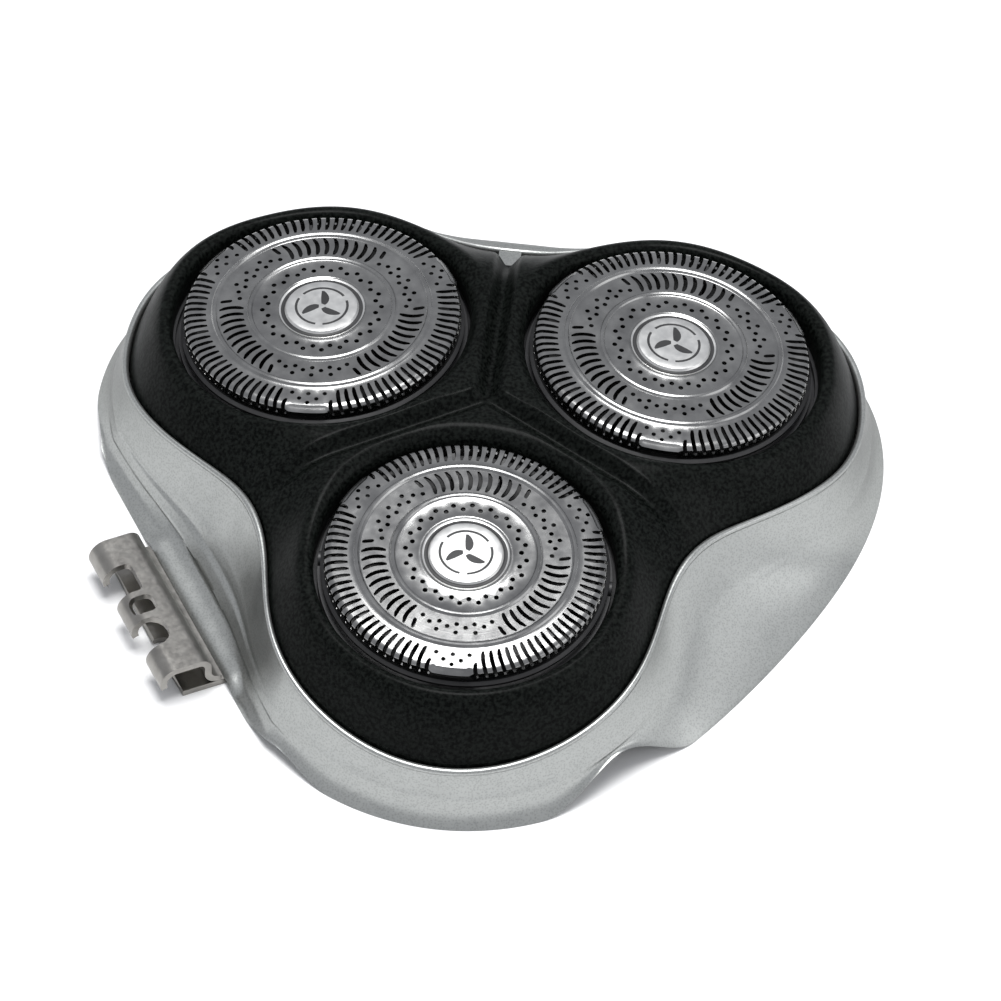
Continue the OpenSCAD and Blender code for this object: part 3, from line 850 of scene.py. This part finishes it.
def build_plates():
    radii, heights = np.array(PLATE_PROFILE).T
    rings = [circle(r, 120) for r in radii[1:]]
    flat, triangles, marked = triangulated(rings, [], mark_shapes())
    r = np.hypot(flat[:, 0], flat[:, 1])
    top = np.column_stack([flat, np.interp(r, radii, heights)])
    bottom = top - np.array([0, 0, PLATE_T])
    points, faces = thickened(top, bottom, triangles)
    points, faces = join_parts([(points.tolist(), faces), lathe(STUD_PROFILE, 40)])
    for i, head in enumerate(HEADS):
        plate = new_object(f"centre_plate_{i + 1}", points, faces, head, sharp_deg=30)
        bright = turned_surface(f"plate_steel_{i + 1}", head, (0.60, 0.60, 0.59),
                                (0.72, 0.72, 0.71), (0.30, 0.42), 0.003)
        put(plate, bright, PRINT_AND_PAINTED_SHADE)
        # the mark is print; the groove round the plate gets the same dark material as painted
        # shade
        for index, polygon in enumerate(plate.data.polygons[: len(triangles)]):
            centre = flat[triangles[index]].mean(axis=0)
            groove = PLATE_SHADED_GROOVE[0] < math.hypot(*centre) < PLATE_SHADED_GROOVE[1]
            polygon.material_index = 1 if marked[index] or groove else 0
        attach(plate, f"guard_{i + 1}")
        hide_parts(f"cap_disc_{i + 1}")


# ------------------------------------------------------------------ hinge clip

CLIP_T = 0.6
CLIP_SHIFT = 2.2
FINGER_W = 3.1
FINGER_PITCH = 6.2
FINGER_ROOT = 4.9  # where the fingers part, along the bent sheet
LEAF_Z = 0.9
LEAF_OUT_Z = 0.31  # the leaf steps down to this height before it leaves the skirt
ROD_OUT = 32.3
ROD_R = 0.95
RISER = 29.6
ARCH_R = ROD_R + CLIP_T / 2
CLIP_W = 2 * FINGER_PITCH + FINGER_W
LEAF_START, LEAF_END = 22.2, ROD_OUT - 0.35
LEAF_STEP = (25.6, 26.4)
LEAF_GAP = 30.4  # where the gap in the leaf's outer edge starts
RIVET_OUT, RIVET_SIDE, RIVET_R = 23.6, 4.3, 0.72
UPPER_START = 28.25  # the upper sheet starts on the leaf here, outside the skirt
FOOT_BEND, TOP_BEND = 1.0, 0.8  # radii of the two bends of the riser


def rounded(x0, y0, x1, y1, radius):
    """Corner points of a rectangle with rounded corners."""
    points = []
    for cx, cy, start in ((x1 - radius, y1 - radius, 0), (x0 + radius, y1 - radius, 90),
                          (x0 + radius, y0 + radius, 180), (x1 - radius, y0 + radius, 270)):
        for t in np.linspace(start, start + 90, 5):
            points.append((cx + radius * cosd(t), cy + radius * sind(t)))
    return points


def bent_path():
    """Middle line of the upper sheet in side view: up the riser, across and round the rod."""
    z_top = LEAF_Z + CLIP_T / 2 + ROD_R + ARCH_R
    z_foot = LEAF_OUT_Z + CLIP_T
    path = [(UPPER_START, z_foot + 0.01), (UPPER_START + 0.25, z_foot + 0.01)]
    for t in np.linspace(-90, 0, 6):
        path.append((RISER - 1.1 + FOOT_BEND * cosd(t), z_foot + 1.01 + FOOT_BEND * sind(t)))
    for t in np.linspace(180, 90, 8):
        path.append((RISER + 0.7 + TOP_BEND * cosd(t), z_top - TOP_BEND + TOP_BEND * sind(t)))
    for t in np.linspace(90, -25, 16):
        path.append((ROD_OUT + ARCH_R * cosd(t), z_top - ARCH_R + ARCH_R * sind(t)))
    return np.array(path)


def bent_sheet(blank, holes, path):
    """A flat blank of (distance along the path, place along the hinge) bent to follow the path."""
    start, low, stop, high = blank
    steps = np.concatenate([[0], np.cumsum(np.hypot(*np.diff(path, axis=0).T))])
    lines = [[(s, low), (s, high)] for s in steps[1:-1]]
    base = [(start, low), (stop, low), (stop, high), (start, high)]
    flat, triangles, _ = triangulated([base, *lines], holes)
    out = np.interp(flat[:, 0], steps, path[:, 0])
    z = np.interp(flat[:, 0], steps, path[:, 1])
    d_out, d_z = (slope(flat[:, 0], steps, path[:, k], 0.05) for k in (0, 1))
    size = np.hypot(d_out, d_z) + 1e-9
    half = CLIP_T / 2
    off_out, off_z = -d_z / size * half, d_out / size * half
    top = np.column_stack([out + off_out, flat[:, 1], z + off_z])
    bottom = np.column_stack([out - off_out, flat[:, 1], z - off_z])
    points, faces = thickened(top, bottom, triangles)
    return points.tolist(), faces


def build_clip():
    low, high = CLIP_SHIFT - CLIP_W / 2, CLIP_SHIFT + CLIP_W / 2
    path = bent_path()
    length = float(np.sum(np.hypot(*np.diff(path, axis=0).T)))
    root = FINGER_ROOT
    gap = FINGER_PITCH - FINGER_W
    far, near = CLIP_SHIFT - FINGER_PITCH / 2, CLIP_SHIFT + FINGER_PITCH / 2
    holes = [rounded(root, far - gap / 2, length + 2, far + gap / 2, 0.5),
             rounded(root - 0.2, near - gap / 2, length + 2, near + gap / 2, 1.4),
             rounded(root - 0.3, CLIP_SHIFT - 0.95, root + 1.7, CLIP_SHIFT + 0.95, 0.6)]
    upper = bent_sheet((0, low, length, high), holes, path)
    leaf_path = np.array([(LEAF_START, LEAF_Z), (24, LEAF_Z), (LEAF_STEP[0], LEAF_Z),
                          (LEAF_STEP[1], LEAF_OUT_Z), (28, LEAF_OUT_Z), (LEAF_END, LEAF_OUT_Z)])
    rivets = [circle(RIVET_R, 24, (RIVET_OUT - LEAF_START, CLIP_SHIFT + side))
              for side in (-RIVET_SIDE, RIVET_SIDE)]
    leaf_holes = [*rivets, rounded(LEAF_GAP - LEAF_START, near - gap / 2, 14, near + gap / 2, 1.2)]
    lower = bent_sheet((0, low, LEAF_END - LEAF_START, high), leaf_holes, leaf_path)
    points, faces = join_parts([upper, lower])
    turn = Matrix.Rotation(math.radians(HINGE_ANGLE), 4, "Z")
    clip = new_object("hinge_clip_sheet", points, faces, turn, sharp_deg=30)
    edge = clip.modifiers.new("worn_edges", "BEVEL")
    edge.width = 0.07 * MM
    edge.segments = 2
    edge.limit_method = "ANGLE"
    edge.angle_limit = math.radians(50)
    edge.harden_normals = True
    put(clip, metal_surface("stamped_steel", (0.25, 0.24, 0.225), (0.33, 0.32, 0.30),
                            (0.28, 0.40), grain=2600, depth=0.008))
    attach(clip, "root")
    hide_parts("hinge_clip")


# ------------------------------------------------------------------ float springs

SPRING_LOW, SPRING_HIGH = -8.6, -4.9  # wire centre at the coil's two ends
SPRING_R, WIRE_R = 12.4, 0.25
SPRING_TURNS = 2.5
SPRING_STEPS, WIRE_SIDES = 160, 10


def build_springs():
    wire = metal_surface("drawn_wire", (0.40, 0.40, 0.40), (0.52, 0.52, 0.51), (0.25, 0.38))
    points = []
    for step in range(SPRING_STEPS + 1):
        share = step / SPRING_STEPS
        around = 2 * math.pi * SPRING_TURNS * share
        middle = SPRING_LOW + (SPRING_HIGH - SPRING_LOW) * share
        for side in range(WIRE_SIDES):
            turn = 2 * math.pi * side / WIRE_SIDES
            r = SPRING_R + WIRE_R * math.cos(turn)
            points.append((r * math.cos(around), r * math.sin(around),
                           middle + WIRE_R * math.sin(turn)))
    faces = ring_faces(SPRING_STEPS + 1, WIRE_SIDES, closed_rows=False)
    ends = [tuple(range(WIRE_SIDES)), tuple(SPRING_STEPS * WIRE_SIDES + side
                                            for side in reversed(range(WIRE_SIDES)))]
    for i, matrix in enumerate(HEADS):
        spring = new_object(f"float_coil_{i + 1}", points, [*faces, *ends], matrix)
        weld(spring, 0.001)
        put(spring, wire)
        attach(spring, "root")
        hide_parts(f"float_spring_{i + 1}")
        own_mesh(spring)


# ------------------------------------------------------------------ CAD pieces that stay

def finish_cad_pieces():
    dark = plastic_surface("moulded_dark", (0.012, 0.012, 0.013), (0.024, 0.024, 0.026))
    grey = plastic_surface("moulded_grey", (0.16, 0.17, 0.18), (0.21, 0.22, 0.23))
    blue = plastic_surface("moulded_blue", (0.035, 0.09, 0.19), (0.05, 0.12, 0.24), (0.25, 0.38))
    white = plastic_surface("moulded_white", (0.62, 0.63, 0.64), (0.70, 0.71, 0.72), (0.3, 0.42))
    zinc = metal_surface("zinc_plated", (0.48, 0.48, 0.47), (0.60, 0.60, 0.59), (0.28, 0.4))
    # the blades get a very dark colour: painted shade, as they lie in shadow under the slotted
    # guards
    blade = metal_surface("ground_blades_painted_shade", (0.06, 0.06, 0.06), (0.12, 0.12, 0.12), (0.25, 0.4))
    plate = metal_surface("plated_catch", (0.45, 0.45, 0.44), (0.56, 0.56, 0.55), (0.3, 0.45),
                          (1, 8, 1))
    brass = metal_surface("turned_brass", (0.60, 0.42, 0.16), (0.72, 0.52, 0.22), (0.25, 0.4))
    by_start = {"chassis": dark, "cap_holder": dark, "retaining_plate": grey, "lock_wheel": blue,
                "cutter_carrier": white, "lock_screw": zinc, "cover_screws": zinc,
                "clip_rivets": zinc, "blade_ring": blade,
                "catch_plate": plate, "cover_pillars": brass}
    for name, obj in NODES.items():
        for start, material in by_start.items():
            if name.startswith(start):
                put(obj, material)


# ------------------------------------------------------------------ studio

CAMERA_DISTANCE = 851.0
CAMERA_ELEVATION = 47.63
CAMERA_AZIMUTH = 3.14
CAMERA_ROLL = 3.66
CAMERA_LENS = 363.4
AIM_RIGHT, AIM_UP = 1.12, -8.37
FLOOR_HALF = 3.0  # metres, like the places and sizes of the lights
WORLD_COLOUR, WORLD_STRENGTH = (0.93, 0.95, 1.0, 1), 0.57


def build_camera():
    centre = Vector((0, 0, CAP_HEIGHT))
    back = Vector((sind(CAMERA_AZIMUTH) * cosd(CAMERA_ELEVATION),
                   -cosd(CAMERA_AZIMUTH) * cosd(CAMERA_ELEVATION), sind(CAMERA_ELEVATION)))
    level = (-back).cross(Vector((0, 0, 1))).normalized()
    upright = level.cross(-back)
    c, s = cosd(CAMERA_ROLL), sind(CAMERA_ROLL)
    right, up = level * c + upright * s, upright * c - level * s
    place = centre + back * CAMERA_DISTANCE
    aim = centre + right * AIM_RIGHT + up * AIM_UP
    forward = (aim - place).normalized()
    right = forward.cross(up).normalized()
    up = right.cross(forward)
    matrix = Matrix((right, up, -forward)).transposed().to_4x4()
    matrix.translation = place * MM
    data = bpy.data.cameras.new("camera")
    data.lens = CAMERA_LENS
    data.sensor_width = 36
    data.clip_end = 20
    camera = bpy.data.objects.new("camera", data)
    camera.matrix_world = matrix
    bpy.context.scene.collection.objects.link(camera)
    bpy.context.scene.camera = camera


def area_light(name, place, size, power):
    """A square light that faces the origin."""
    data = bpy.data.lights.new(name, "AREA")
    data.shape = "RECTANGLE"
    data.size = data.size_y = size
    data.energy = power
    light = bpy.data.objects.new(name, data)
    light.location = place
    light.rotation_euler = (-Vector(place)).to_track_quat("-Z", "Y").to_euler()
    bpy.context.scene.collection.objects.link(light)


def build_studio():
    half = FLOOR_HALF / MM
    corners = [(x * half, y * half, 0) for x, y in ((-1, -1), (1, -1), (1, 1), (-1, 1))]
    floor = new_object("floor", corners, [(0, 1, 2, 3)])
    pale = Surface("pale_floor", specular=0.2)
    pale.colour(pale.noise(6, 2), (0.86, 0.86, 0.86), (0.90, 0.90, 0.90))
    pale.rough(pale.noise(30, 2), 0.75, 0.9)
    put(floor, pale.material)
    world = bpy.data.worlds.new("studio")
    bpy.context.scene.world = world
    world.use_nodes = True
    world.node_tree.nodes["Background"].inputs["Color"].default_value = WORLD_COLOUR
    world.node_tree.nodes["Background"].inputs["Strength"].default_value = WORLD_STRENGTH
    area_light("overhead", (-0.02, 0.10, 1.2), 0.62, 15)
    area_light("right", (1.25, -0.25, 0.6), 0.8, 3)
    bpy.context.scene.view_settings.view_transform = "Standard"
    bpy.context.scene.view_settings.look = "None"


# ------------------------------------------------------------------ build

build_camera()
build_studio()
build_shell()
build_face()
build_caps()
build_plates()
build_clip()
build_springs()
finish_cad_pieces()

bpy.context.view_layer.update()
